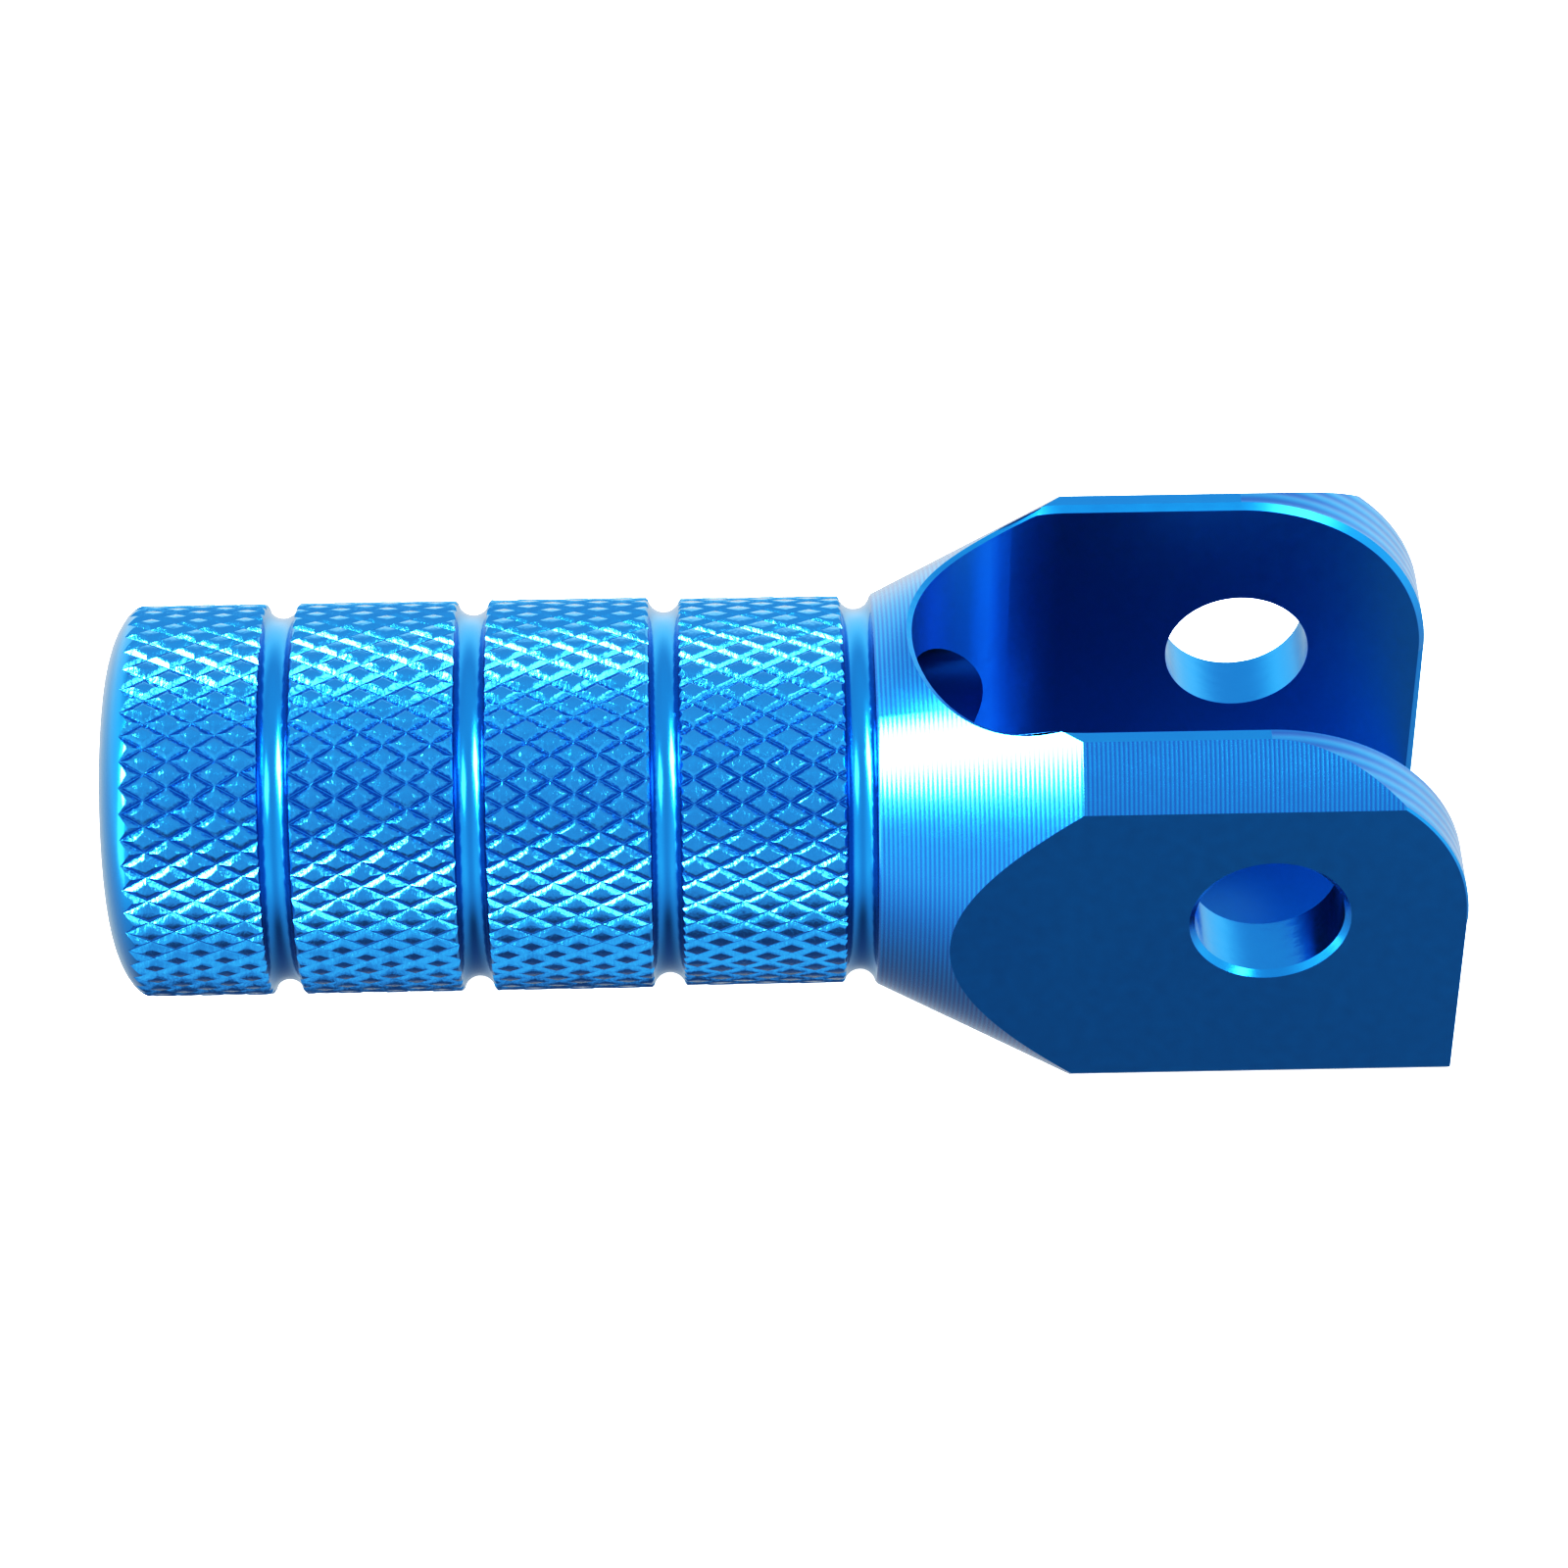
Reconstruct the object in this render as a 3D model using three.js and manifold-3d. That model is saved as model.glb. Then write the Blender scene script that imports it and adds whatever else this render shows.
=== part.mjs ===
// A folding toe peg for a motorcycle's foot lever. It is one turned and milled aluminium peg whose
// clevis straddles the lever, with the ball and the coil spring that hold it out straight.
// The clevis is closed underneath by a web, which stops the peg from folding downwards.
// Millimetres, +Z up. The origin is the centre of the pivot bore, midway between the two ears.
// +X runs from the grip towards the open end of the clevis, and +Y runs along the pivot bore.

import * as THREE from 'three';
import { mergeVertices } from 'three/addons/utils/BufferGeometryUtils.js';
import Module from 'manifold-3d';

const wasm = await Module();
wasm.setup();

// Driving dimensions.

const axisHeight = -1.4; // the pivot bore is drilled this far above the peg's turning axis

const gripRadius = 8.57; // over the knurl of the first three bands
const lastBandRadius = 8.5; // the knurl is pressed less deep on the band beside the cone
const gripEnd = -49.95; // the crown of the closed end
const crownLength = 1.8; // the end rounds off over this length
const crownFlatRadius = 4.5; // inside this radius the end is flat

const grooveCount = 4;
const groovePitch = 8.33;
const lastGrooveCentre = -17.25;
const grooveHalfWidth = 0.76;
const grooveDepth = 0.65;

const headStart = -8.15; // the cone ends and the head begins
const headRadius = 12.7; // the head is turned from 25.4 mm bar

const clevisSquare = 20; // the head is milled to a 20 mm square section
const clevisEnd = 8.45;
const earCornerRadius = 8.8; // upper corner of each ear, about the pivot
const slotWidth = 14;
const slotRoot = -14.95; // deepest point of the slot's full-round root
const webThickness = 2.2; // the floor left under the slot, between the ears

const pivotRadius = 3.2; // clearance for a 6 mm pivot bolt
const pivotChamfer = 0.25;

const springBoreRadius = 6.1;
const springBoreEnd = -42;

const ballRadius = 6; // a 12 mm steel ball
const ballCentre = -19.5; // its front stands out of the slot's root
const wireRadius = 0.7;
const coilRadius = 5; // to the middle of the wire
const coilTurns = 8;
const closedTurns = 1; // at each end
const closedPitch = 1.5;
const restGap = 0.3; // between the spring and what it bears on

// Finishes.

const anodisedBlue = { color: 0x0a5fb4, roughness: 0.32, metalness: 1 };
const springSteel = { color: 0x9a9c9e, roughness: 0.35, metalness: 1 };
const ballSteel = { color: 0xc8cacc, roughness: 0.12, metalness: 1 };

// Fineness of the faceted surfaces.

const turnedSides = 48;
const boreSides = 40;
const grooveSteps = 6;
const crownSteps = 5;
const cornerSteps = 14;
const rootSteps = 24;
const wireSides = 8; // an even number
const stepsPerTurn = 14;
const ballSides = 24;
const overrun = 1; // how far a cutter or an envelope reaches past the billet
const shoulderRun = 0.05; // a small change of radius slopes over this length
const weldDistance = 1e-4;

// Geometry helpers.

function solid(geometry) {
  const bare = geometry.clone();
  bare.deleteAttribute('normal');
  bare.deleteAttribute('uv');
  const merged = mergeVertices(bare, weldDistance);
  const index = Array.from(merged.index.array);
  const triangles = [];
  for (let i = 0; i < index.length; i += 3) {
    const [a, b, c] = index.slice(i, i + 3);
    const hasArea = a !== b && b !== c && c !== a;
    if (hasArea) {
      triangles.push(a, b, c);
    }
  }
  const vertProperties = new Float32Array(merged.attributes.position.array);
  const triVerts = new Uint32Array(triangles);
  return new wasm.Manifold(new wasm.Mesh({ numProp: 3, vertProperties, triVerts }));
}

function geometryOf(manifold) {
  const mesh = manifold.getMesh();
  const geometry = new THREE.BufferGeometry();
  geometry.setAttribute('position', new THREE.BufferAttribute(new Float32Array(mesh.vertProperties), 3));
  geometry.setIndex(new THREE.BufferAttribute(new Uint32Array(mesh.triVerts), 1));
  geometry.computeVertexNormals();
  return geometry;
}

// A profile of [along, radius] points, from low to high, turned about the peg's axis.
function turnedAlongX(profile, sides) {
  const points = profile.map(([along, radius]) => new THREE.Vector2(radius, along));
  const geometry = new THREE.LatheGeometry(points, sides);
  geometry.rotateZ(-Math.PI / 2);
  geometry.translate(0, 0, axisHeight);
  return geometry;
}

function addMesh(group, name, geometry, finish) {
  const mesh = new THREE.Mesh(geometry, new THREE.MeshStandardMaterial(finish));
  mesh.name = name;
  group.add(mesh);
  return mesh;
}

// The peg: grip, cone and clevis in one billet.

// The closed end is a quarter ellipse from the flat of the crown out to the first knurled band.
function crownProfile() {
  const points = [[gripEnd, 0]];
  for (let i = 0; i <= crownSteps; i++) {
    const angle = (i / crownSteps) * (Math.PI / 2);
    const along = gripEnd + crownLength * (1 - Math.cos(angle));
    const radius = crownFlatRadius + (gripRadius - crownFlatRadius) * Math.sin(angle);
    points.push([along, radius]);
  }
  return points;
}

// A round-bottomed groove: an arc through both of its edges and its floor.
function grooveProfile(centre, edgeRadius) {
  const arcRadius = (grooveHalfWidth ** 2 + grooveDepth ** 2) / (2 * grooveDepth);
  const halfAngle = Math.atan2(grooveHalfWidth, arcRadius - grooveDepth);
  const points = [];
  for (let i = 0; i <= grooveSteps; i++) {
    const angle = halfAngle * ((2 * i) / grooveSteps - 1);
    const along = centre + arcRadius * Math.sin(angle);
    const radius = edgeRadius - grooveDepth + arcRadius * (1 - Math.cos(angle));
    points.push([along, radius]);
  }
  return points;
}

function pegProfile() {
  const points = crownProfile();
  for (let i = 0; i < grooveCount; i++) {
    const centre = lastGrooveCentre - groovePitch * (grooveCount - 1 - i);
    const isLastBand = i === grooveCount - 1;
    const bandRadius = isLastBand ? lastBandRadius : gripRadius;
    const bandStart = centre - groovePitch + grooveHalfWidth + shoulderRun;
    if (isLastBand) {
      points.push([bandStart, bandRadius]);
    }
    points.push(...grooveProfile(centre, bandRadius));
  }
  points.push([lastGrooveCentre + grooveHalfWidth + shoulderRun, gripRadius]);
  points.push([headStart, headRadius]);
  points.push([clevisEnd, headRadius]);
  points.push([clevisEnd, 0]);
  return points;
}

// The square milled envelope, seen from the side, with the large radius on the ears' upper corner.
function milledEnvelope() {
  const top = axisHeight + clevisSquare / 2;
  const bottom = axisHeight - clevisSquare / 2;
  const start = gripEnd - overrun;
  const outline = new THREE.Shape();
  outline.moveTo(start, bottom);
  outline.lineTo(clevisEnd, bottom);
  outline.lineTo(clevisEnd, top - earCornerRadius);
  outline.absarc(clevisEnd - earCornerRadius, top - earCornerRadius, earCornerRadius, 0, Math.PI / 2);
  outline.lineTo(start, top);
  const options = { depth: clevisSquare, bevelEnabled: false, curveSegments: cornerSteps };
  const geometry = new THREE.ExtrudeGeometry(outline, options);
  geometry.rotateX(Math.PI / 2);
  geometry.translate(0, clevisSquare / 2, 0);
  return geometry;
}

// The slot is a pocket milled from above: open at its top and far end, with a half-round root and a
// flat floor on the web.
function slotCutter() {
  const half = slotWidth / 2;
  const rootCentre = slotRoot + half;
  const floor = axisHeight - clevisSquare / 2 + webThickness;
  const outline = new THREE.Shape();
  outline.moveTo(clevisEnd + overrun, -half);
  outline.lineTo(clevisEnd + overrun, half);
  outline.lineTo(rootCentre, half);
  outline.absarc(rootCentre, 0, half, Math.PI / 2, (3 * Math.PI) / 2);
  const depth = clevisSquare - webThickness + overrun;
  const options = { depth, bevelEnabled: false, curveSegments: rootSteps };
  const geometry = new THREE.ExtrudeGeometry(outline, options);
  geometry.translate(0, 0, floor);
  return geometry;
}

// The pivot bore's cutter flares at both outer faces, which leaves the chamfered rims.
function pivotCutter() {
  const face = clevisSquare / 2;
  const flare = pivotRadius + pivotChamfer + overrun;
  const points = [
    [0, -face - overrun],
    [flare, -face - overrun],
    [pivotRadius, -face + pivotChamfer],
    [pivotRadius, face - pivotChamfer],
    [flare, face + overrun],
    [0, face + overrun],
  ];
  return new THREE.LatheGeometry(points.map(([x, y]) => new THREE.Vector2(x, y)), boreSides);
}

function springBoreCutter() {
  const mouth = slotRoot + slotWidth / 2;
  const profile = [
    [springBoreEnd, 0],
    [springBoreEnd, springBoreRadius],
    [mouth, springBoreRadius],
    [mouth, 0],
  ];
  return turnedAlongX(profile, boreSides);
}

function pegBody() {
  return solid(turnedAlongX(pegProfile(), turnedSides))
    .intersect(solid(milledEnvelope()))
    .subtract(solid(slotCutter()))
    .subtract(solid(pivotCutter()))
    .subtract(solid(springBoreCutter()));
}

// The coil spring between the bore's floor and the ball, with one closed turn at each end.
class SpringPath extends THREE.Curve {
  getPoint(t, target = new THREE.Vector3()) {
    const start = springBoreEnd + wireRadius + restGap;
    const reach = ballRadius + wireRadius + restGap;
    const end = ballCentre - Math.sqrt(reach ** 2 - coilRadius ** 2);
    const closedLength = closedTurns * closedPitch;
    const openTurns = coilTurns - 2 * closedTurns;
    const openPitch = (end - start - 2 * closedLength) / openTurns;
    const turn = t * coilTurns;
    const closedAtStart = Math.min(turn, closedTurns);
    const closedAtEnd = Math.max(turn - coilTurns + closedTurns, 0);
    const open = turn - closedAtStart - closedAtEnd;
    const along = start + (closedAtStart + closedAtEnd) * closedPitch + open * openPitch;
    const angle = 2 * Math.PI * turn;
    return target.set(along, coilRadius * Math.cos(angle), coilRadius * Math.sin(angle) + axisHeight);
  }
}

function returnSpring() {
  const section = new THREE.Shape();
  section.absarc(0, 0, wireRadius, 0, 2 * Math.PI);
  return new THREE.ExtrudeGeometry(section, {
    steps: coilTurns * stepsPerTurn,
    curveSegments: wireSides / 2,
    extrudePath: new SpringPath(),
  });
}

// The assembly.

const peg = new THREE.Group();
addMesh(peg, 'peg_body', geometryOf(pegBody()), anodisedBlue);
addMesh(peg, 'return_spring', returnSpring(), springSteel);

const ballGeometry = new THREE.SphereGeometry(ballRadius, ballSides, ballSides / 2);
const ball = addMesh(peg, 'detent_ball', ballGeometry, ballSteel);
ball.position.set(ballCentre, 0, axisHeight);

export default peg;
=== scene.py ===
# %% [markdown]
# # A folding toe peg
# This peg is the short folding tip of a motorcycle's gear or brake lever. It is one aluminium billet: a
# bar is knurled and grooved on the lathe, its thick end is turned to a cone and a head, and a mill then
# squares the head and cuts the slot that straddles the lever. Last it is dyed blue in an anodising bath.
#
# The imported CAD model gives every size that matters. This script makes the fine surface in the same
# frame: the turned and milled billet, its knurled bands, the coil spring and the ball. Everything is
# worked in millimetres and brought to metres when a piece is finished.

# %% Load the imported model
import math

import bmesh
import bpy
from mathutils import Euler, Matrix, Vector, noise


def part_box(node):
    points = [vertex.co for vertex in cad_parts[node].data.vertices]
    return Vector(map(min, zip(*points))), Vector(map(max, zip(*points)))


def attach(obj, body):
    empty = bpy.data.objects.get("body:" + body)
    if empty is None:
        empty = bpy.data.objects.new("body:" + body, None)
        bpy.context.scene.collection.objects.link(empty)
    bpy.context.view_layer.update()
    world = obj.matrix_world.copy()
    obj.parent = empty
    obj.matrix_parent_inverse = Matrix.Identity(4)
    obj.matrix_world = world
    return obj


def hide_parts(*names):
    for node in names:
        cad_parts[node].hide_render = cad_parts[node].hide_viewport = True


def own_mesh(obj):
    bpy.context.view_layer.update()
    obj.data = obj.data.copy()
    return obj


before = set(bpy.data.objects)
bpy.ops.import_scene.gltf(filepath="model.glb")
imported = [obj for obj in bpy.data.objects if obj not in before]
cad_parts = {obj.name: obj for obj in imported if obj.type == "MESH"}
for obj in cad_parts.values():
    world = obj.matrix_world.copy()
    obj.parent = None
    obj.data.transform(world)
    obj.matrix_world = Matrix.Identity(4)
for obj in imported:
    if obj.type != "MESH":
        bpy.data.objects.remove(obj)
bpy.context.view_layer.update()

MM = 0.001
peg_low, peg_high = (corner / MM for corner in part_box("peg_body"))
grip_end = peg_low.x
clevis_end = peg_high.x
ear_face = peg_high.y
top_flat = peg_high.z
bottom_flat = peg_low.z
axis_height = (top_flat + bottom_flat) / 2
print(f"peg from x {grip_end:.2f} to {clevis_end:.2f} mm, turning axis at z {axis_height:.2f} mm")

# %% [markdown]
# ## Sizes of the turned part
# The bounding box doesn't say where the grooves are or how wide the slot is, so those sizes are named
# here, in millimetres from the centre of the pivot bore. They are the same ones that the CAD model is
# driven by.

# %% Sizes
GRIP_RADIUS = 8.57
LAST_BAND_RADIUS = 8.50
GROOVE_CENTRES = [-17.25 - 8.33 * step for step in (3, 2, 1, 0)]
GROOVE_DEPTH = 0.65
GROOVE_ARC = 0.70
BROKEN_EDGE = 0.10
CROWN_LENGTH = 1.8
CROWN_FLAT = 4.5
CONE_START = GROOVE_CENTRES[-1] + 0.76
HEAD_START = -8.15
HEAD_RADIUS = 12.7
EAR_CORNER = 8.8
SLOT_WIDTH = 14
SLOT_ROOT = -14.95
WEB_THICKNESS = 2.2
PIVOT_RADIUS = 3.2
SPRING_BORE_RADIUS = 6.1
SPRING_BORE_END = -42
OVERRUN = 1  # how far a tool reaches past the work, so that no two faces lie in one plane
print("grooves at x", [round(centre, 2) for centre in GROOVE_CENTRES])

# %% [markdown]
# ## The finishes
# The whole billet has one colour, but each tool leaves its own marks under it, and anodising keeps them
# all. The lathe leaves fine rings a fifth of a millimetre apart, the face mill leaves an almost plain
# satin, and the small cutter that rounds the ears leaves stripes along the edge. So there is one recipe
# for anodised aluminium, and each finish gives it a different bump. The dye tints the metal's reflection,
# and the clear oxide skin over it gives a second, white one, which is why the strongest highlights turn
# white. Blender's coat layer is that skin.

# %% Node helpers


def new_material(name):
    """An empty node material with its Principled shader and Object coordinates in millimetres."""
    material = bpy.data.materials.new(name)
    material.use_nodes = True
    nodes = material.node_tree.nodes
    shader = nodes["Principled BSDF"]
    coordinates = nodes.new("ShaderNodeTexCoord")
    millimetres = nodes.new("ShaderNodeMapping")
    millimetres.inputs["Scale"].default_value = (1 / MM,) * 3
    material.node_tree.links.new(coordinates.outputs["Object"], millimetres.inputs["Vector"])
    return material, shader, millimetres.outputs["Vector"]


def add_node(material, kind, settings=None, **inputs):
    """A node whose named inputs are linked where they are sockets, and set where they are values."""
    node = material.node_tree.nodes.new(kind)
    for name, value in (settings or {}).items():
        setattr(node, name, value)
    for name, value in inputs.items():
        socket = node.inputs[name.replace("_", " ")]
        if isinstance(value, bpy.types.NodeSocket):
            material.node_tree.links.new(value, socket)
        else:
            socket.default_value = value
    return node.outputs[0]


def link(material, output, node, name):
    material.node_tree.links.new(output, node.inputs[name])


def mixed(material, factor, low, high):
    """A value that runs from low to high with the factor."""
    return add_node(material, "ShaderNodeMapRange", Value=factor, To_Min=low, To_Max=high)


def two_tone(material, factor, low, high):
    """A colour that runs from low to high. Each end is a colour or the output of another node."""
    blend = material.node_tree.nodes.new("ShaderNodeMix")
    blend.data_type = "RGBA"
    link(material, factor, blend, 0)
    for socket, tone in ((6, low), (7, high)):
        if isinstance(tone, bpy.types.NodeSocket):
            link(material, tone, blend, socket)
        else:
            blend.inputs[socket].default_value = tone
    return blend.outputs[2]


def stripes(material, place, axis, pitch, wobble=0.0):
    """Fine parallel tool marks across one axis, from 0 to 1, a pitch apart in millimetres."""
    # A wave texture has a full wave every pi / 10 units at scale 1.
    settings = {"wave_type": "BANDS", "bands_direction": axis, "wave_profile": "SIN"}
    return add_node(
        material, "ShaderNodeTexWave", settings,
        Vector=place, Scale=math.pi / 10 / pitch, Distortion=wobble, Detail=2.0, Detail_Scale=0.6,
    )


def grain(material, place, scale, detail=2.0, stretch=(1, 1, 1)):
    """Soft noise from 0 to 1 that may be stretched along an axis."""
    stretched = add_node(material, "ShaderNodeMapping", Vector=place, Scale=stretch)
    return add_node(material, "ShaderNodeTexNoise", Vector=stretched, Scale=scale, Detail=detail)


# %% [markdown]
# The dye isn't perfectly even, and the metal under it isn't perfectly clean, so the colour moves a little
# over the part and the roughness a little more. Both movements are soft noise in millimetres. Tool marks
# come as a bump, and the valleys of the finest lines get painted shade, a darker tone, because a bump
# alone fades when it is seen from afar.

# %% Anodised aluminium
DYE = (0.003, 0.285, 0.60, 1)
DEEP_DYE = (0.002, 0.260, 0.57, 1)
# painted shade: the darker tone painted into the valleys of fine tool lines
LINE_VALLEY_SHADE = (0.001, 0.160, 0.45, 1)


def anodised(name, roughness, coat=0.6):
    """Blue-anodised aluminium with no tool marks yet."""
    material, shader, place = new_material(name)
    cloud = grain(material, place, scale=0.25)
    link(material, two_tone(material, cloud, DYE, DEEP_DYE), shader, "Base Color")
    smear = grain(material, place, scale=1.7, detail=4.0)
    link(material, mixed(material, smear, roughness * 0.85, roughness * 1.2), shader, "Roughness")
    shader.inputs["Metallic"].default_value = 1.0
    shader.inputs["Coat Weight"].default_value = coat
    shader.inputs["Coat Roughness"].default_value = roughness * 0.75
    shader.inputs["Coat IOR"].default_value = 1.6
    return material, shader, place


def marked(material, shader, height, depth):
    """Presses a height pattern of 0 to 1 into the surface, so many millimetres deep."""
    bump = add_node(material, "ShaderNodeBump", Strength=1.0, Distance=depth * MM, Height=height)
    link(material, bump, shader, "Normal")
    link(material, bump, shader, "Coat Normal")


def shade_line_valleys(material, shader, lines, tone):
    """Paints shade into the valleys of fine lines, so that they are darkened to a tone there."""
    plain = shader.inputs["Base Color"].links[0].from_socket
    link(material, two_tone(material, lines, tone, plain), shader, "Base Color")


# %% Turned, milled, profiled, knurled and bored finishes
def turned_finish():
    material, shader, place = anodised("turned_blue", roughness=0.26, coat=0.85)
    rings = stripes(material, place, "X", pitch=0.19)
    # painted shade in the valleys of the turned rings
    shade_line_valleys(material, shader, rings, LINE_VALLEY_SHADE)
    marked(material, shader, rings, depth=0.004)
    return material


def milled_finish():
    material, shader, place = anodised("milled_blue", roughness=0.30)
    drag = grain(material, place, scale=1.0, detail=2.0, stretch=(0.8, 4, 4))
    marked(material, shader, drag, depth=0.0006)
    return material


def profiled_finish():
    material, shader, place = anodised("profiled_blue", roughness=0.40, coat=0.9)
    shader.inputs["Sheen Weight"].default_value = 0.1
    passes = stripes(material, place, "Y", pitch=0.62)
    # painted shade in the valleys of the cutter's passes
    shade_line_valleys(material, shader, passes, LINE_VALLEY_SHADE)
    marked(material, shader, passes, depth=0.014)
    return material


def knurl_finish():
    material, shader, place = anodised("knurled_blue", roughness=0.22, coat=1.0)
    torn = grain(material, place, scale=3.2, detail=4.0, stretch=(1.6, 1, 1))
    marked(material, shader, torn, depth=0.04)
    return material


def bored_finish():
    material, shader, place = anodised("bored_blue", roughness=0.22)
    rings = grain(material, place, scale=1.4, detail=3.0, stretch=(1, 1.6, 1))
    marked(material, shader, rings, depth=0.01)
    return material


def grooved_finish():
    material, shader, place = anodised("grooved_blue", roughness=0.22)
    drag = grain(material, place, scale=1.0, detail=2.0, stretch=(6, 0.3, 0.3))
    marked(material, shader, drag, depth=0.002)
    return material


FINISHES = {
    "turned": turned_finish(),
    "milled": milled_finish(),
    "profiled": profiled_finish(),
    "knurled": knurl_finish(),
    "bored": bored_finish(),
    "grooved": grooved_finish(),
}
FINISH_NUMBER = {name: number for number, name in enumerate(FINISHES)}
print("finishes:", ", ".join(FINISHES))

# %% [markdown]
# ## Turning
# A lathe makes any shape that is an outline spun round an axis, and so does bmesh's spin. The outline is
# a chain of (along, radius) points. Its two ends lie on the axis, or it closes on itself for a ring. The
# number of steps is a multiple of the number of knurl teeth, so that every tooth meets the turned faces
# in the same way.

# %% Spin an outline
WELD = 0.002
KNURL_STARTS = 47
TURNED_STEPS = KNURL_STARTS * 8


def outline_bmesh(points, closed):
    """A chain of edges through the points, in the XZ plane above the turning axis."""
    bm = bmesh.new()
    chain = [bm.verts.new((along, 0, axis_height + radius)) for along, radius in points]
    for one, other in zip(chain, chain[1:]):
        bm.edges.new((one, other))
    if closed:
        bm.edges.new((chain[-1], chain[0]))
    return bm


def turned(points, closed=False, steps=TURNED_STEPS):
    """The solid that a lathe makes of this outline."""
    bm = outline_bmesh(points, closed)
    bmesh.ops.spin(
        bm, geom=bm.verts[:] + bm.edges[:], cent=(0, 0, axis_height), axis=(1, 0, 0),
        angle=math.tau, steps=steps, use_merge=True,
    )
    bmesh.ops.remove_doubles(bm, verts=bm.verts, dist=WELD)
    bmesh.ops.recalc_face_normals(bm, faces=bm.faces)
    return bm


def paint(bm, finish):
    for face in bm.faces:
        face.material_index = FINISH_NUMBER[finish]
    return bm


# %% [markdown]
# The round stretches are arcs by formula. A groove is an arc that dips to its floor. The closed end of
# the grip rolls over in a quarter of an ellipse, from the flat of the end to the full radius.

# %% Arcs of the outline
CORE_RADIUS = 8.16  # the knurl's valleys stay above this
GROOVE_FLOOR = GRIP_RADIUS - GROOVE_DEPTH
CROWN_STEPS = 24
GROOVE_STEPS = 20


def between(start, end, steps):
    return [start + (end - start) * step / steps for step in range(steps + 1)]


def groove_angle(radius):
    """How far round the groove's arc a radius is reached, from the floor."""
    return math.acos(1 - (radius - GROOVE_FLOOR) / GROOVE_ARC)


def groove_arc(centre, start, end, steps):
    """Points along a groove's arc between two angles, where negative is on the grip end's side."""
    return [
        (centre + GROOVE_ARC * math.sin(angle), GROOVE_FLOOR + GROOVE_ARC * (1 - math.cos(angle)))
        for angle in between(start, end, steps)
    ]


def crown_arc(start_radius, full_radius, steps):
    """Points on the rolled-over end, from one radius out to the full one."""
    rise = full_radius - CROWN_FLAT
    start = math.asin((start_radius - CROWN_FLAT) / rise)
    return [
        (grip_end + CROWN_LENGTH * (1 - math.cos(angle)), CROWN_FLAT + rise * math.sin(angle))
        for angle in between(start, math.pi / 2, steps)
    ]


# %% [markdown]
# ## Cutting
# A mill and a drill take away what their path covers. The Boolean modifier does the same with solids. Its
# Manifold solver is quick and exact on closed meshes, and a face keeps the number of the finish that its
# tool left, so the slot, the bores and the turned faces stay apart.

# %% Boolean cuts


def as_object(bm, name):
    mesh = bpy.data.meshes.new(name)
    bm.to_mesh(mesh)
    bm.free()
    for material in FINISHES.values():
        mesh.materials.append(material)
    made = bpy.data.objects.new(name, mesh)
    bpy.context.scene.collection.objects.link(made)
    return made


def applied(made):
    """The object's mesh with its modifiers applied, as a bmesh. The object is used up."""
    shape = made.evaluated_get(bpy.context.evaluated_depsgraph_get())
    bm = bmesh.new()
    bm.from_mesh(shape.to_mesh())
    shape.to_mesh_clear()
    bpy.data.meshes.remove(made.data)
    return bm


def cut(work, operation, tool):
    """The work after a cut: DIFFERENCE takes the tool's shape away, and INTERSECT keeps what both share."""
    work = as_object(work, "work")
    tool = as_object(tool, "tool")
    step = work.modifiers.new("cut", "BOOLEAN")
    step.operation = operation
    step.solver = "MANIFOLD"
    step.object = tool
    result = applied(work)
    bpy.data.meshes.remove(tool.data)
    return result


# %% [markdown]
# ## The core of the peg
# First the lathe work: the end, the seats under the knurled bands, the four grooves, the cone and the
# head. The bands themselves are separate rings made further on, because only they need the fine mesh of
# the knurl.

# %% Turn the core
whole_crown = crown_arc(CROWN_FLAT, GRIP_RADIUS, CROWN_STEPS)
crown_to_core = [point for point in whole_crown if point[1] < CORE_RADIUS]
core_outline = [(grip_end, 0)] + crown_to_core + [crown_arc(CORE_RADIUS, GRIP_RADIUS, 1)[0]]
seat_angle = groove_angle(CORE_RADIUS)
wall_angle = groove_angle(GRIP_RADIUS - BROKEN_EDGE)
for centre in GROOVE_CENTRES:
    is_last = centre == GROOVE_CENTRES[-1]
    core_outline += groove_arc(centre, -seat_angle, wall_angle if is_last else seat_angle, GROOVE_STEPS)
cone_slope = (HEAD_RADIUS - GRIP_RADIUS) / (HEAD_START - CONE_START)
wall_top = core_outline[-1]
cone_foot = wall_top[0] + BROKEN_EDGE
core_outline += [
    (cone_foot, GRIP_RADIUS + (cone_foot - CONE_START) * cone_slope),
    (HEAD_START, HEAD_RADIUS),
    (clevis_end + OVERRUN, HEAD_RADIUS),
    (clevis_end + OVERRUN, 0),
]
core = paint(turned(core_outline), "turned")
for face in core.faces:
    if face.calc_center_median().x < cone_foot - BROKEN_EDGE / 2:
        face.material_index = FINISH_NUMBER["grooved"]
print("turned core:", len(core.faces), "faces")

# %% [markdown]
# The milled square is seen from the side as a rectangle with one large round corner, where the ears' tops
# are rounded so that they clear the lever. The outline is filled, pushed across the whole width, and the
# long edges of its round corner are bevelled while the shape is still this simple.

# %% The milled square
CORNER_STEPS = 72
EDGE_BREAK = 0.30


def prism(points, depth):
    """A flat outline of points, filled and pushed out by depth, a vector."""
    bm = bmesh.new()
    face = bm.faces.new([bm.verts.new(point) for point in points])
    pushed = bmesh.ops.extrude_face_region(bm, geom=[face])["geom"]
    corners = [item for item in pushed if isinstance(item, bmesh.types.BMVert)]
    bmesh.ops.translate(bm, verts=corners, vec=depth)
    bmesh.ops.recalc_face_normals(bm, faces=bm.faces)
    return bm


corner_x = clevis_end - EAR_CORNER
corner_z = top_flat - EAR_CORNER


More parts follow.
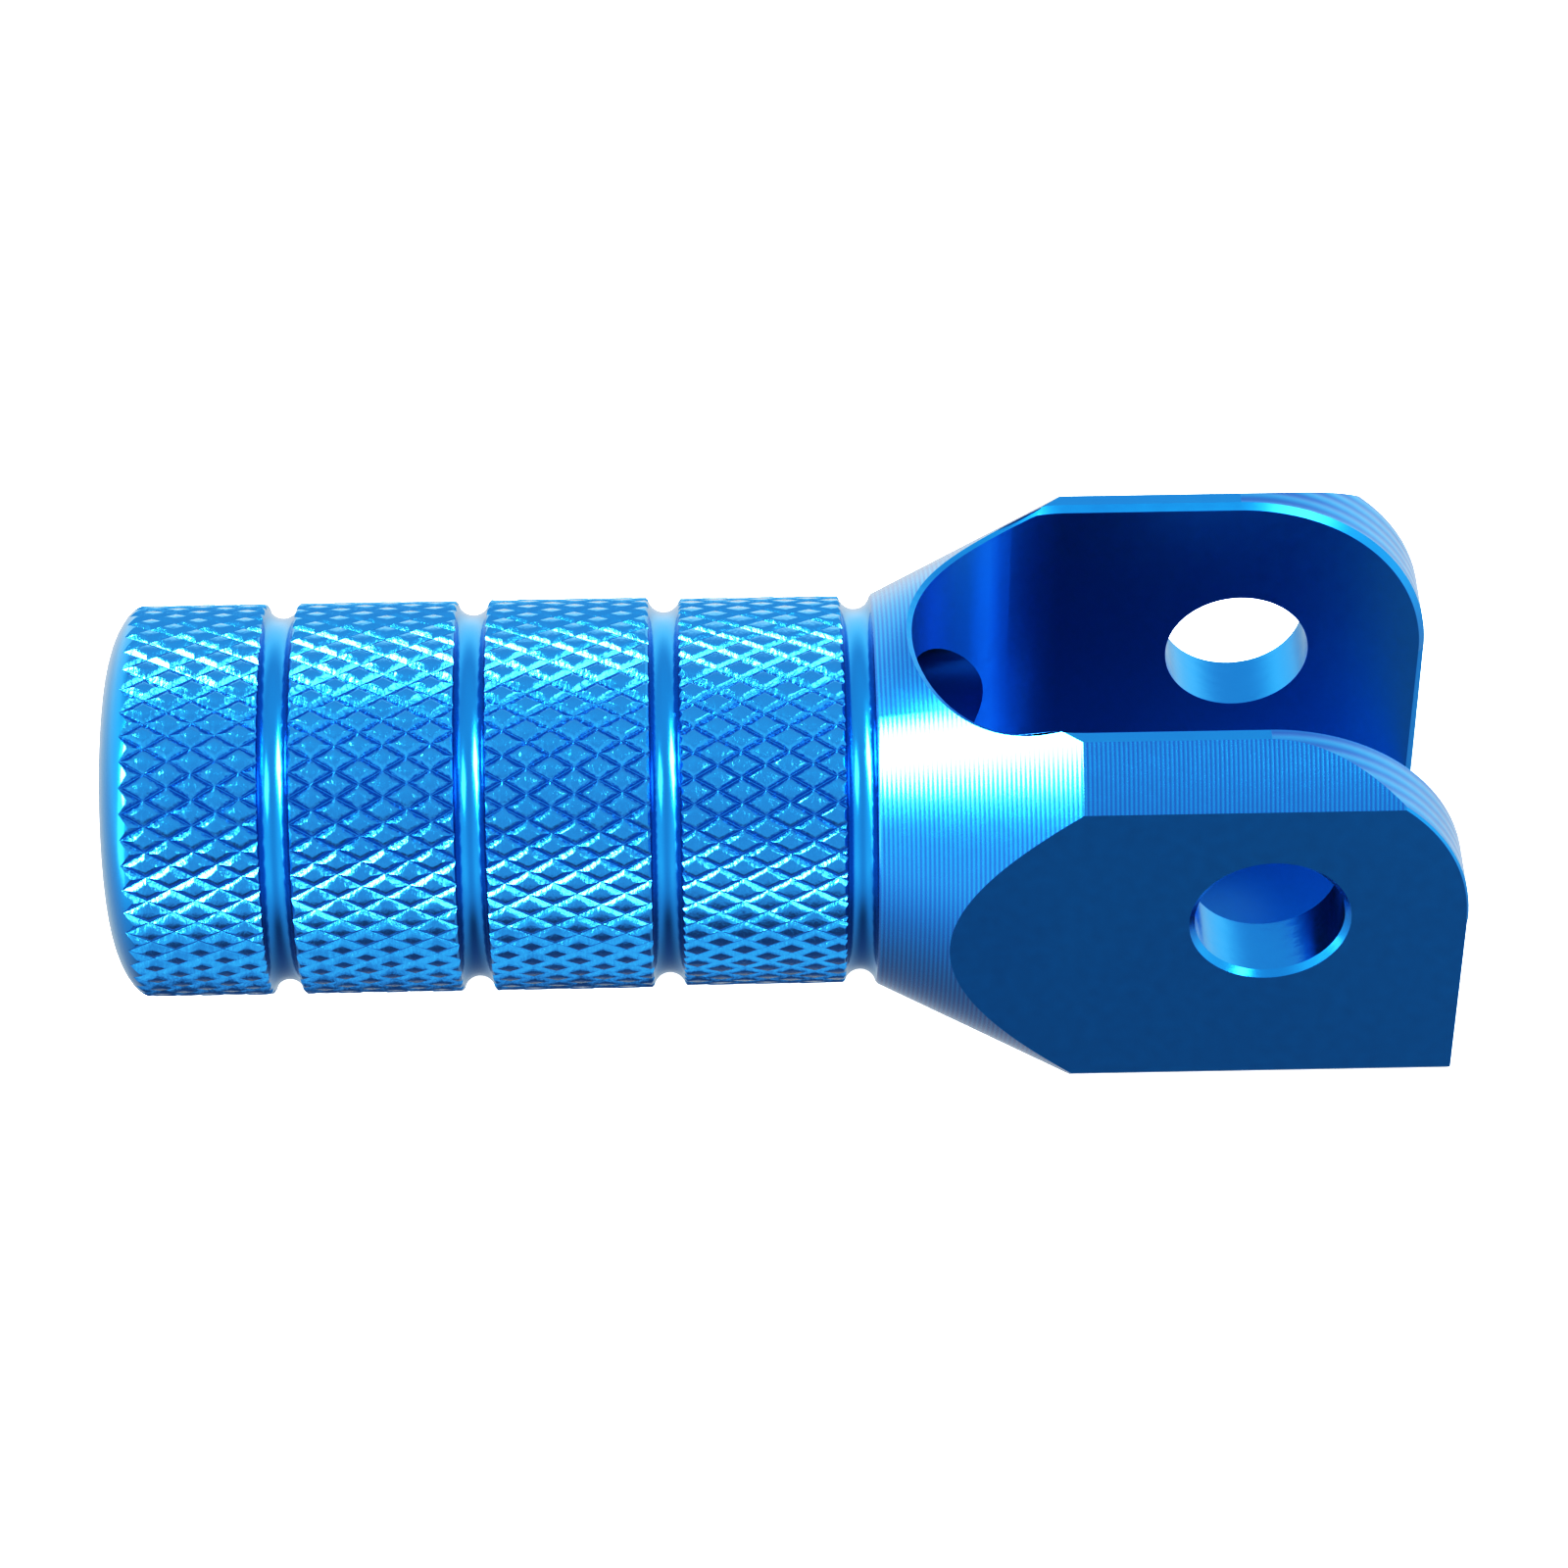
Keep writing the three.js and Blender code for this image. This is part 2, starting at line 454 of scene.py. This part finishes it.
def milled_square():
    corner = [
        (corner_x + EAR_CORNER * math.cos(turn), -ear_face, corner_z + EAR_CORNER * math.sin(turn))
        for turn in between(0, math.pi / 2, CORNER_STEPS)
    ]
    start = grip_end - OVERRUN
    ends = [(start, top_flat), (start, bottom_flat), (clevis_end, bottom_flat)]
    outline = corner + [(x, -ear_face, z) for x, z in ends]
    bm = paint(prism(outline, Vector((0, 2 * ear_face, 0))), "milled")
    rim = [
        edge for edge in bm.edges
        if all(abs(v.co.y) > ear_face - WELD and v.co.z > corner_z - WELD for v in edge.verts)
    ]
    bmesh.ops.bevel(
        bm, geom=rim, offset=EDGE_BREAK, offset_type="OFFSET", affect="EDGES", segments=1, profile=0.5,
        material=FINISH_NUMBER["milled"], clamp_overlap=True,
    )
    return bm


core = cut(core, "INTERSECT", milled_square())
print("squared:", len(core.faces), "faces")

# %% [markdown]
# The slot is a pocket with a half-round root, milled from above. It doesn't go right through: a thin web
# stays under it, and the lever's tongue comes to rest on that web, so the peg can't fold downwards. The
# pivot bore flares at both faces, where a countersink breaks its edge. The spring's bore is a plain
# drilled hole in the slot's root. Where two tools' faces cross, the cut leaves needles of faces, and the
# narrowest are merged away.

# %% The slot and the bores
# With 45 steps no vertex of the root falls just beside the corner where the cone meets the top flat.
# A vertex there would leave the rim's chamfer no room.
ROOT_STEPS = 45
BORE_STEPS = 96
PIVOT_CHAMFER = 0.25
SLIVER = 0.006
slot_floor = bottom_flat + WEB_THICKNESS
slot_half = SLOT_WIDTH / 2
root_centre = SLOT_ROOT + slot_half


def slot_tool():
    root = [
        (root_centre - slot_half * math.sin(turn), slot_half * math.cos(turn), slot_floor)
        for turn in between(0, math.pi, ROOT_STEPS)
    ]
    mouth = [(clevis_end + OVERRUN, side * slot_half, slot_floor) for side in (-1, 1)]
    return paint(prism(root + mouth, Vector((0, 0, top_flat + OVERRUN - slot_floor))), "milled")


def pivot_tool():
    """A drill as long as the head is wide, between two countersinks, turned along X and swung onto Y."""
    flare = PIVOT_RADIUS + PIVOT_CHAMFER + OVERRUN
    points = [
        (-ear_face - OVERRUN, 0),
        (-ear_face - OVERRUN, flare),
        (-ear_face + PIVOT_CHAMFER, PIVOT_RADIUS),
        (ear_face - PIVOT_CHAMFER, PIVOT_RADIUS),
        (ear_face + OVERRUN, flare),
        (ear_face + OVERRUN, 0),
    ]
    bm = paint(turned(points, steps=BORE_STEPS), "bored")
    bmesh.ops.translate(bm, verts=bm.verts, vec=(0, 0, -axis_height))
    bmesh.ops.rotate(bm, verts=bm.verts, cent=(0, 0, 0), matrix=Matrix.Rotation(math.pi / 2, 3, "Z"))
    return bm


def spring_bore_tool():
    points = [
        (SPRING_BORE_END, 0),
        (SPRING_BORE_END, SPRING_BORE_RADIUS),
        (root_centre, SPRING_BORE_RADIUS),
        (root_centre, 0),
    ]
    return paint(turned(points, steps=BORE_STEPS), "bored")


for tool in (slot_tool(), pivot_tool(), spring_bore_tool()):
    core = cut(core, "DIFFERENCE", tool)
bmesh.ops.remove_doubles(core, verts=core.verts, dist=SLIVER)
bmesh.ops.dissolve_degenerate(core, edges=core.edges, dist=SLIVER)
print("slotted and bored:", len(core.faces), "faces")

# %% [markdown]
# The ears' rounded tops are profiled with the side of a small cutter, pass beside pass, so they get the
# striped finish. They are found by their shape: every vertex of such a face is one corner radius away
# from the corner's centre line.

# %% Profile the ears' corners
ON_SURFACE = 0.02  # a vertex this near to a surface counts as on it


def on_round_corner(face):
    """Whether the face lies on the ears' rounded tops."""
    reach = [math.hypot(v.co.x - corner_x, v.co.z - corner_z) - EAR_CORNER for v in face.verts]
    middle = face.calc_center_median()
    in_corner = middle.x > corner_x and middle.z > corner_z
    return in_corner and all(abs(off) < ON_SURFACE for off in reach)


for face in filter(on_round_corner, core.faces):
    face.material_index = FINISH_NUMBER["profiled"]
for name, number in FINISH_NUMBER.items():
    print(name, "faces:", sum(face.material_index == number for face in core.faces))

# %% [markdown]
# The slot's rim has a fine chamfer all the way round, over the cone, the flats and the round corners.
# Where the slot's walls meet an outer face is easy to find: the wall lies in the slot's own outline and
# its neighbour doesn't. The sharp inner corner along the web isn't a rim, so edges down at the floor are
# left out. Vertices closer together than a few hundredths are merged first, because a bevel needs room.

# %% Chamfer the slot's rim
RIM_WELD = 0.03
RIM_CHAMFER = 0.26


def on_slot_wall(face):
    """Whether the face is part of the slot's straight walls or of its round root."""
    is_upright = abs(face.normal.z) < 0.05
    if not is_upright or face.material_index == FINISH_NUMBER["bored"]:
        return False
    for v in face.verts:
        past_root = min(v.co.x - root_centre, 0)  # 0 along the straight walls
        off = abs(math.hypot(past_root, v.co.y) - slot_half)
        if off > ON_SURFACE:
            return False
    return True


def on_floor(edge):
    return all(abs(v.co.z - slot_floor) < WELD for v in edge.verts)


def rim_edges(bm):
    """The edges between a wall of the slot and an outer face of the head, but not those round a bore."""
    walls = {face for face in bm.faces if on_slot_wall(face)}
    rims = []
    for edge in bm.edges:
        finishes = {face.material_index for face in edge.link_faces}
        walls_beside = sum(face in walls for face in edge.link_faces)
        if walls_beside == 1 and FINISH_NUMBER["bored"] not in finishes and not on_floor(edge):
            rims.append(edge)
    return rims


rim = rim_edges(core)
rim_vertices = {v for edge in rim for v in edge.verts}
bmesh.ops.remove_doubles(core, verts=list(rim_vertices), dist=RIM_WELD)
core.normal_update()
rim = rim_edges(core)
print("rim:", len(rim), "edges,", round(sum(edge.calc_length() for edge in rim), 1), "mm long")
bmesh.ops.bevel(
    core, geom=rim, offset=RIM_CHAMFER, offset_type="OFFSET", affect="EDGES", segments=1, profile=0.5,
    material=FINISH_NUMBER["milled"], clamp_overlap=False,
)

# %% [markdown]
# ## Finishing a piece
# A finished piece is brought to metres, gets its materials and rides on its body. Faces are smooth, but
# edges sharper than a small angle stay crisp, and the normals are weighted by face area, so that a large
# flat beside a thin chamfer still looks flat.

# %% Make pieces


def finish_piece(bm, name, body, crease=22):
    bmesh.ops.scale(bm, verts=bm.verts, vec=(MM,) * 3)
    bm.normal_update()
    for face in bm.faces:
        face.smooth = True
    for edge in bm.edges:  # an edge that isn't smooth is drawn as a crease
        edge.smooth = edge.is_manifold and edge.calc_face_angle() < math.radians(crease)
    made = as_object(bm, name)
    weighted = made.modifiers.new("flat_faces", "WEIGHTED_NORMAL")
    weighted.keep_sharp = True
    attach(made, body)
    triangles = sum(len(face.vertices) - 2 for face in made.data.polygons)
    print(f"{name}: {triangles} triangles")
    return made


peg_core = finish_piece(core, "peg_core", "peg")
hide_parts("peg_body")

# %% [markdown]
# ## The knurl
# A diamond knurl is two sets of V grooves, pressed or cut at 30 degrees to the axis, that leave a diamond
# between them. Each diamond keeps a flat top of the bar's old surface, steep flanks, and a narrow valley.
# It could be a bump texture, but a toe peg is gripped by real points, and the light catches their flanks,
# so each diamond here is real. One is made flat from a four-sided circle by four insets, steep low down
# and shallower towards its rounded top, then copied along and round the bar.

# %% One diamond
DIAMOND_LENGTH = 2.03
DIAMOND_WIDTH = math.tau * GRIP_RADIUS / KNURL_STARTS
VALLEY_HALF = 0.012
TOP_BREAK = 0.04
KNURL_DEPTH = 0.20
# How the flank climbs from the valley: a share of its width, and the share of the depth it rises there.
LOW_FLANK = (0.55, 0.61)
HIGH_FLANK = (0.45, 0.32)
ROUNDED_TOP = 1 - LOW_FLANK[1] - HIGH_FLANK[1]


def diamond(flat_share, depth):
    """One flat-lying diamond, its valley at height 0 and its top at height depth."""
    bm = bmesh.new()
    bmesh.ops.create_circle(bm, cap_ends=True, radius=0.5, segments=4)
    bmesh.ops.scale(bm, verts=bm.verts, vec=(DIAMOND_LENGTH, DIAMOND_WIDTH, 1))
    half_pitch = DIAMOND_LENGTH * DIAMOND_WIDTH / math.hypot(DIAMOND_LENGTH, DIAMOND_WIDTH) / 2
    flank = half_pitch * (1 - flat_share) - VALLEY_HALF - TOP_BREAK
    steps = (
        (VALLEY_HALF, 0),
        (flank * LOW_FLANK[0], depth * LOW_FLANK[1]),
        (flank * HIGH_FLANK[0], depth * HIGH_FLANK[1]),
        (TOP_BREAK, depth * ROUNDED_TOP),
    )
    for width, rise in steps:
        middle = min(bm.faces, key=lambda face: face.calc_center_median().xy.length)
        bmesh.ops.inset_individual(bm, faces=[middle], thickness=width, depth=rise, use_even_offset=True)
    return bm


sample = diamond(0.40, KNURL_DEPTH)
print("a diamond:", len(sample.faces), "faces, top at", round(max(v.co.z for v in sample.verts), 3), "mm")
sample.free()

# %% [markdown]
# Two diamonds, half a length and half a width apart, repeat along the bar. The row is bent onto the
# valley's radius while it is still narrow, and spin copies it round. A pressed knurl is never quite
# regular, so its vertices are shifted by a few hundredths of soft noise. Without a seed this noise starts
# from the clock, and every run would press another knurl, so the seed is set first. The two jagged ends
# are cut square and capped, which makes the bar a closed solid that the groove tool can cut.

# %% Copy and square off
UNEVENNESS = ((1.3, 0.016), (4.1, 0.012))  # how often per millimetre it changes, and how far it goes
UNEVENNESS_SEED = 1
noise.seed_set(UNEVENNESS_SEED)


def everything(bm):
    return bm.verts[:] + bm.edges[:] + bm.faces[:]


def vertices_of(geometry):
    return [item for item in geometry if isinstance(item, bmesh.types.BMVert)]


def copy_by(bm, geometry, offset):
    made = bmesh.ops.duplicate(bm, geom=geometry)["geom"]
    bmesh.ops.translate(bm, verts=vertices_of(made), vec=offset)


def slice_off(bm, place, side):
    """Cuts away what lies beyond a plane across the axis. side names the half that goes."""
    bmesh.ops.bisect_plane(
        bm, geom=everything(bm), dist=WELD / 4, plane_co=(place, 0, 0), plane_no=(1, 0, 0), **{side: True}
    )


def cap(bm):
    """Closes the open ends."""
    bmesh.ops.holes_fill(bm, edges=[edge for edge in bm.edges if edge.is_boundary], sides=0)


# %% The knurled bar
def knurled_bar(start, end, radius, flat_share, depth):
    """A closed bar with knurl all round, from start to end along the axis."""
    bm = diamond(flat_share, depth)
    copy_by(bm, everything(bm), (DIAMOND_LENGTH / 2, DIAMOND_WIDTH / 2, 0))
    pair = everything(bm)
    first = math.floor(start / DIAMOND_LENGTH) - 1
    last = math.ceil(end / DIAMOND_LENGTH) + 1
    for column in range(first, last):
        copy_by(bm, pair, (column * DIAMOND_LENGTH, 0, 0))
    bmesh.ops.delete(bm, geom=vertices_of(pair), context="VERTS")
    for v in bm.verts:
        turn = v.co.y / GRIP_RADIUS
        reach = radius - depth + v.co.z
        v.co = Vector((v.co.x, reach * math.sin(turn), axis_height + reach * math.cos(turn)))
    bmesh.ops.spin(
        bm, geom=everything(bm), cent=(0, 0, axis_height), axis=(1, 0, 0),
        angle=math.tau * (KNURL_STARTS - 1) / KNURL_STARTS, steps=KNURL_STARTS - 1, use_duplicate=True,
    )
    bmesh.ops.remove_doubles(bm, verts=bm.verts, dist=WELD)
    for v in bm.verts:
        shifts = [noise.noise_vector(v.co * often) * far for often, far in UNEVENNESS]
        v.co += shifts[0] + shifts[1]
    slice_off(bm, start, "clear_inner")
    slice_off(bm, end, "clear_outer")
    cap(bm)
    bmesh.ops.recalc_face_normals(bm, faces=bm.faces)
    return paint(bm, "knurled")


# %% [markdown]
# ## The knurled bands
# On the lathe the grooves are cut after the knurl, so each band's ends slice through the diamonds and the
# corner is broken by a small chamfer. Here a ring with exactly that outline is turned, and what it shares
# with the knurled bar is the band. The first band also rolls over with the closed end. The knurl is
# pressed a little less deep towards the cone, so the flats on the last bands are wider.

# %% Band outlines
CLEARANCE = 0.15  # how far the ring's outline stands over the knurl's points
CROWN_RAISE = 0.03  # keeps the rolled-over end just over the knurl's points
WALL_STEPS = 10
CROWN_SIDE_STEPS = 16


def wall_and_chamfer(centre, side, edge_radius):
    """From the seat up a groove's wall and over its edge. side is 1 for the wall towards the cone."""
    top = groove_angle(edge_radius - BROKEN_EDGE)
    points = groove_arc(centre, side * seat_angle, side * top, WALL_STEPS)
    along, radius = points[-1]
    reach = BROKEN_EDGE + CLEARANCE
    return points + [(along + side * reach, radius + reach)]


def crown_side(edge_radius):
    """From the seat over the rolled-over end of the grip."""
    arc = crown_arc(CORE_RADIUS, edge_radius + CROWN_RAISE, CROWN_SIDE_STEPS)
    return arc + [(arc[-1][0] + CLEARANCE, edge_radius + CLEARANCE)]


def band_outline(number, edge_radius):
    if number == 0:
        left = crown_side(edge_radius)
    else:
        left = wall_and_chamfer(GROOVE_CENTRES[number - 1], 1, edge_radius)
    right = wall_and_chamfer(GROOVE_CENTRES[number], -1, edge_radius)
    return left + right[::-1]


# %% Knurl and part off the bands
BANDS = [
    {"radius": GRIP_RADIUS, "flat": 0.38, "depth": KNURL_DEPTH},
    {"radius": GRIP_RADIUS, "flat": 0.40, "depth": KNURL_DEPTH},
    {"radius": GRIP_RADIUS, "flat": 0.43, "depth": KNURL_DEPTH * 0.96},
    {"radius": LAST_BAND_RADIUS, "flat": 0.50, "depth": KNURL_DEPTH * 0.85},
]
BAR_OVERHANG = 0.5
for number, band in enumerate(BANDS):
    outline = band_outline(number, band["radius"])
    start = min(along for along, _ in outline) - BAR_OVERHANG
    end = max(along for along, _ in outline) + BAR_OVERHANG
    bar = knurled_bar(start, end, band["radius"], band["flat"], band["depth"])
    ring = cut(bar, "INTERSECT", paint(turned(outline, closed=True), "grooved"))
    finish_piece(ring, f"knurled_band_{number + 1}", "peg", crease=28)

# %% [markdown]
# ## The spring and the ball
# The spring is a round wire wound on a mandrel: one closed turn, six open ones and one closed turn again,
# and then both ends are ground flat. Spin winds it, because it can move along its axis while it turns. In
# use it shortens with the ball, towards the end that stands on the bore's floor; here it is wound to the
# length of the spring in the CAD model.

# %% Steel finishes


def spring_wire_finish():
    material, shader, place = new_material("spring_steel_wire")
    drawn = grain(material, place, scale=2.5, detail=5.0)
    link(material, mixed(material, drawn, 0.24, 0.4), shader, "Roughness")
    tone = two_tone(material, drawn, (0.42, 0.42, 0.43, 1), (0.58, 0.58, 0.59, 1))
    link(material, tone, shader, "Base Color")
    shader.inputs["Metallic"].default_value = 1.0
    marked(material, shader, drawn, depth=0.004)
    return material


def ball_finish():
    material, shader, place = new_material("ground_ball_steel")
    lapped = grain(material, place, scale=6.0, detail=3.0)
    link(material, mixed(material, lapped, 0.06, 0.13), shader, "Roughness")
    wear = grain(material, place, scale=0.6)
    tone = two_tone(material, wear, (0.74, 0.74, 0.75, 1), (0.62, 0.62, 0.64, 1))
    link(material, tone, shader, "Base Color")
    shader.inputs["Metallic"].default_value = 1.0
    marked(material, shader, lapped, depth=0.0006)
    return material


# %% Wind the spring
spring_low, spring_high = (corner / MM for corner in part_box("return_spring"))
WIRE_RADIUS = 0.7
COIL_RADIUS = spring_high.y - WIRE_RADIUS
OPEN_TURNS = 6
CLOSED_PITCH = 1.5
TURN_STEPS = 64
WIRE_SIDES = 20
GROUND_OFF = 0.35


def wind(bm, section, turns, pitch):
    """Sweeps the section round the axis while it moves along it, and returns the far end of the sweep."""
    steps = round(turns * TURN_STEPS)
    swept = bmesh.ops.spin(
        bm, geom=section, cent=(0, 0, axis_height), axis=(1, 0, 0), dvec=(pitch / TURN_STEPS, 0, 0),
        angle=math.tau * turns, steps=steps,
    )
    return swept["geom_last"]


def return_spring():
    bm = bmesh.new()
    wire_start = spring_low.x + WIRE_RADIUS
    wire_end = spring_high.x - WIRE_RADIUS
    open_pitch = (wire_end - wire_start - 2 * CLOSED_PITCH) / OPEN_TURNS
    bmesh.ops.create_circle(bm, radius=WIRE_RADIUS, segments=WIRE_SIDES)
    bmesh.ops.rotate(bm, verts=bm.verts, cent=(0, 0, 0), matrix=Matrix.Rotation(math.pi / 2, 3, "X"))
    bmesh.ops.translate(bm, verts=bm.verts, vec=(wire_start, 0, axis_height + COIL_RADIUS))
    end = wind(bm, bm.verts[:] + bm.edges[:], 1, CLOSED_PITCH)
    end = wind(bm, end, OPEN_TURNS, open_pitch)
    wind(bm, end, 1, CLOSED_PITCH)
    bmesh.ops.remove_doubles(bm, verts=bm.verts, dist=WELD)
    cap(bm)
    ground_ends = ((spring_low.x + GROUND_OFF, "clear_inner"), (spring_high.x - GROUND_OFF, "clear_outer"))
    for place, side in ground_ends:
        slice_off(bm, place, side)
        cap(bm)
    bmesh.ops.recalc_face_normals(bm, faces=bm.faces)
    return bm


def in_one_material(made, material):
    made.data.materials.clear()
    made.data.materials.append(material)


spring = finish_piece(return_spring(), "coil_spring", "peg", crease=40)
in_one_material(spring, spring_wire_finish())
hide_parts("return_spring")
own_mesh(spring)

# %% [markdown]
# A bearing ball is a true sphere, so it starts from an icosphere, whose faces are all alike and leave no
# poles. What makes it a real one is its lapped surface, a mirror with a faint unevenness and some duller
# patches.

# %% The ball
ball_low, ball_high = (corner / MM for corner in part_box("detent_ball"))
ball = bmesh.new()
ball_radius = (ball_high.x - ball_low.x) / 2
bmesh.ops.create_icosphere(ball, subdivisions=6, radius=ball_radius)
bmesh.ops.translate(ball, verts=ball.verts, vec=(ball_low + ball_high) / 2)
bearing_ball = finish_piece(ball, "bearing_ball", "ball")
in_one_material(bearing_ball, ball_finish())
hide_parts("detent_ball")

# %% [markdown]
# ## The studio
# Metal shows what is around it. The plain dark sides of the ears mirror a dim bluish floor in front, and
# the pale upper edges mirror a light wall behind. So the sky has three ramps by height, one for the
# front, one for the sides and one for the back, and it blends them by direction.

# %% The sky
# Pairs of height and light, where 0 is straight down, 0.5 is level and 1 is straight up.
FRONT_LIGHT = [(0, 0.45), (0.15, 0.34), (0.3, 1.0), (0.45, 1.15), (0.85, 1.1), (1, 1.2)]
SIDE_LIGHT = [(0, 0.6), (0.2, 1.0), (0.4, 1.6), (0.62, 1.4), (0.85, 1.2), (1, 1.2)]
BACK_LIGHT = [(0, 0.5), (0.3, 1.0), (0.4, 1.4), (0.62, 1.7), (0.82, 1.1), (1, 1.2)]
WHITE = (1, 1, 1)
FLOOR_TINT = (0.75, 0.72, 1.0)
FLOOR_TOP = 0.2
SIDE_BLEND = (0.06, 0.6)
BACK_BLEND = (-0.35, 0.55)
SKY_SCALE = 2.5  # a ramp's colours end at 1, so the background multiplies them by this


def eased(world, source, low, high, kind="SMOOTHSTEP"):
    """From 0 to 1 while the source goes from low to high."""
    settings = {"interpolation_type": kind}
    return add_node(world, "ShaderNodeMapRange", settings, Value=source, From_Min=low, From_Max=high)


def height_ramp(world, height, stops, floor_tint=WHITE):
    """Light by height, with the floor in a tint of its own."""
    ramp = world.node_tree.nodes.new("ShaderNodeValToRGB")
    link(world, eased(world, height, -1, 1, "LINEAR"), ramp, 0)
    elements = ramp.color_ramp.elements
    while len(elements) < len(stops):
        elements.new(0.5)
    for element, (place, light) in zip(elements, stops):
        tint = floor_tint if place < FLOOR_TOP else WHITE
        element.position = place
        element.color = [channel * light / SKY_SCALE for channel in tint] + [1]
    return ramp.outputs[0]


def studio_sky():
    """A room with a light wall behind the peg and a dimmer room in front."""
    world = bpy.data.worlds.new("studio")
    bpy.context.scene.world = world
    world.use_nodes = True
    nodes = world.node_tree.nodes
    direction = nodes.new("ShaderNodeTexCoord")
    parts = nodes.new("ShaderNodeSeparateXYZ")
    link(world, direction.outputs["Generated"], parts, 0)
    across, depth, height = parts.outputs
    sideways = nodes.new("ShaderNodeMath")
    sideways.operation = "ABSOLUTE"
    link(world, across, sideways, 0)
    front = height_ramp(world, height, FRONT_LIGHT, FLOOR_TINT)
    side = height_ramp(world, height, SIDE_LIGHT)
    back = height_ramp(world, height, BACK_LIGHT)
    around = two_tone(world, eased(world, sideways.outputs[0], *SIDE_BLEND), front, side)
    sky = two_tone(world, eased(world, depth, *BACK_BLEND), around, back)
    link(world, sky, nodes["Background"], "Color")
    nodes["Background"].inputs["Strength"].default_value = SKY_SCALE


studio_sky()
print("sky: front, side and back ramps, up to", SKY_SCALE)

# %% [markdown]
# The table is a pale lit sheet that the metal doesn't mirror and that casts no shadow. Three soft boxes
# stand at half a metre. The key, at the upper left, is the long white highlight on the cone. A tall dim
# card below it lights the crown and the walls of the grooves, and a small fill on the right picks out the
# other flank of each diamond in the knurl.

# %% Table and lamps
TABLE_LIGHT = 1.2
TABLE_HALF = 1.5
LAMP_DISTANCE = 0.5


def table():
    bm = bmesh.new()
    bmesh.ops.create_grid(bm, x_segments=1, y_segments=1, size=TABLE_HALF)
    bmesh.ops.translate(bm, verts=bm.verts, vec=(0, 0, bottom_flat * MM))
    mesh = bpy.data.meshes.new("table")
    bm.to_mesh(mesh)
    bm.free()
    made = bpy.data.objects.new("table", mesh)
    bpy.context.scene.collection.objects.link(made)
    material, shader, place = new_material("lit_table")
    shader.inputs["Base Color"].default_value = (0.8, 0.8, 0.8, 1)
    shader.inputs["Roughness"].default_value = 0.9
    shader.inputs["Emission Color"].default_value = (1, 1, 1, 1)
    shader.inputs["Emission Strength"].default_value = TABLE_LIGHT
    mesh.materials.append(material)
    made.visible_glossy = False
    made.visible_shadow = False


def soft_box(name, direction, size, light):
    """A rectangular lamp that faces the peg. light is how bright it looks beside the sky's 1."""
    lamp = bpy.data.lights.new(name, "AREA")
    lamp.shape = "RECTANGLE"
    lamp.size, lamp.size_y = size
    lamp.energy = light * math.pi * size[0] * size[1]
    made = bpy.data.objects.new(name, lamp)
    away = Vector(direction).normalized()
    made.location = peg_middle + away * LAMP_DISTANCE
    made.rotation_euler = away.to_track_quat("Z", "Y").to_euler()
    made.visible_camera = False
    bpy.context.scene.collection.objects.link(made)
    return made


peg_middle = Vector(((grip_end + clevis_end) / 2, 0, axis_height)) * MM
table()
soft_box("key_box", (-0.77, -0.24, 0.58), (0.20, 0.30), 25)
soft_box("left_card", (-0.86, -0.28, 0.30), (0.24, 0.70), 2.0)
soft_box("fill_box", (0.58, -0.50, 0.64), (0.22, 0.20), 6)
print("studio: a table and", len(bpy.data.lights), "lamps")

# %% [markdown]
# ## The camera
# It looks down at the peg from its side through a long lens, from a little over 20 cm away, which keeps
# the ears nearly the same size. It is aimed near the middle of the peg. The picture is then developed
# with a tone curve, as a camera does it: the curve deepens the dark tones, which makes the blue more
# saturated, and keeps the light ones.

# %% Camera
CAMERA_HEIGHT_ANGLE = math.radians(43.863)
CAMERA_SWING = math.radians(-1.234)
CAMERA_ROLL = math.radians(-0.146)
CAMERA_DISTANCE = 232.8
CAMERA_LENS = 121.4
CAMERA_AIM = (-20.43, -0.09)
SENSOR_WIDTH = 36
TONE_CURVE = [(0.1, 0.033), (0.3, 0.180), (0.5, 0.43), (0.7, 0.69)]


def aimed_camera():
    lens = bpy.data.cameras.new("camera")
    lens.lens = CAMERA_LENS
    lens.sensor_width = SENSOR_WIDTH
    lens.clip_start = 0.01
    made = bpy.data.objects.new("camera", lens)
    bpy.context.scene.collection.objects.link(made)
    turn = Euler((math.pi / 2 - CAMERA_HEIGHT_ANGLE, 0, CAMERA_SWING)).to_matrix()
    turn = turn @ Matrix.Rotation(CAMERA_ROLL, 3, "Z")
    right, up, back = turn.col
    place = back * CAMERA_DISTANCE + right * CAMERA_AIM[0] + up * CAMERA_AIM[1]
    made.location = (place + Vector((0, 0, axis_height))) * MM
    made.rotation_euler = turn.to_euler()
    return made


def develop():
    """Puts the tone curve on the scene's view."""
    view = bpy.context.scene.view_settings
    view.view_transform = "Standard"
    view.use_curve_mapping = True
    tone = view.curve_mapping.curves[3]  # the one for all three channels together
    for light, shown in TONE_CURVE:
        tone.points.new(light, shown)
    view.curve_mapping.update()


bpy.context.scene.camera = aimed_camera()
develop()
print("camera at", [round(value / MM, 1) for value in bpy.context.scene.camera.location], "mm")
